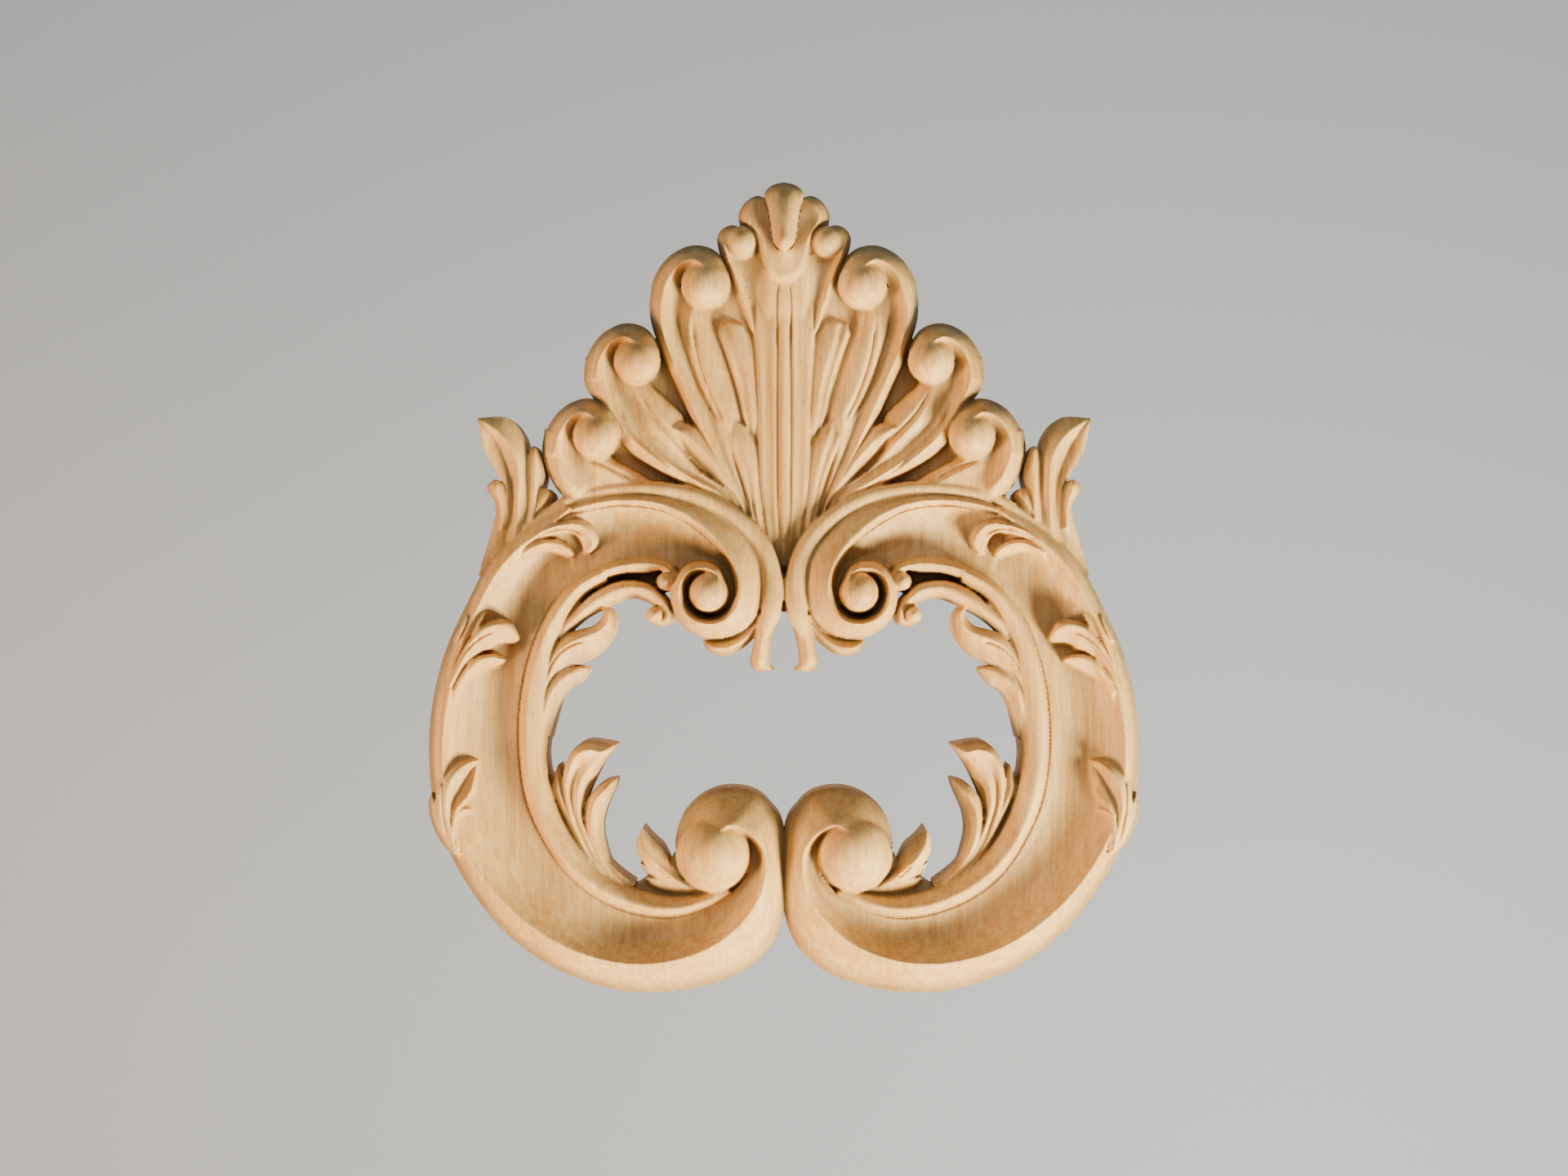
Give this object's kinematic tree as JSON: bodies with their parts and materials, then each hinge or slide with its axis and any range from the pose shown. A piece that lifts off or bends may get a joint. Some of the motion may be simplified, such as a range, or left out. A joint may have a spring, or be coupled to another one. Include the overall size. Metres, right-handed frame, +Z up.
{
  "type": "furniture applique",
  "caption": "Carved wooden furniture applique: a palmette of curled blades over a pair of C-scrolls with leaves and volutes around an open centre, flat at the back to fix on a panel",
  "frame": {"origin": "on the flat back, on the middle line, behind the foot of the palmette", "axes": "+Z up towards the tip of the palmette, +Y out of the flat back into the furniture, the carving faces -Y, +X to the right of someone who looks at the carving"},
  "size_m": [0.2198, 0.028, 0.2495],
  "materials": {
    "carved_wood": "matte, sanded and unvarnished, fine upright grain"
  },
  "bodies": {
    "root": {"applique": "carved_wood"}
  },
  "joints": []
}
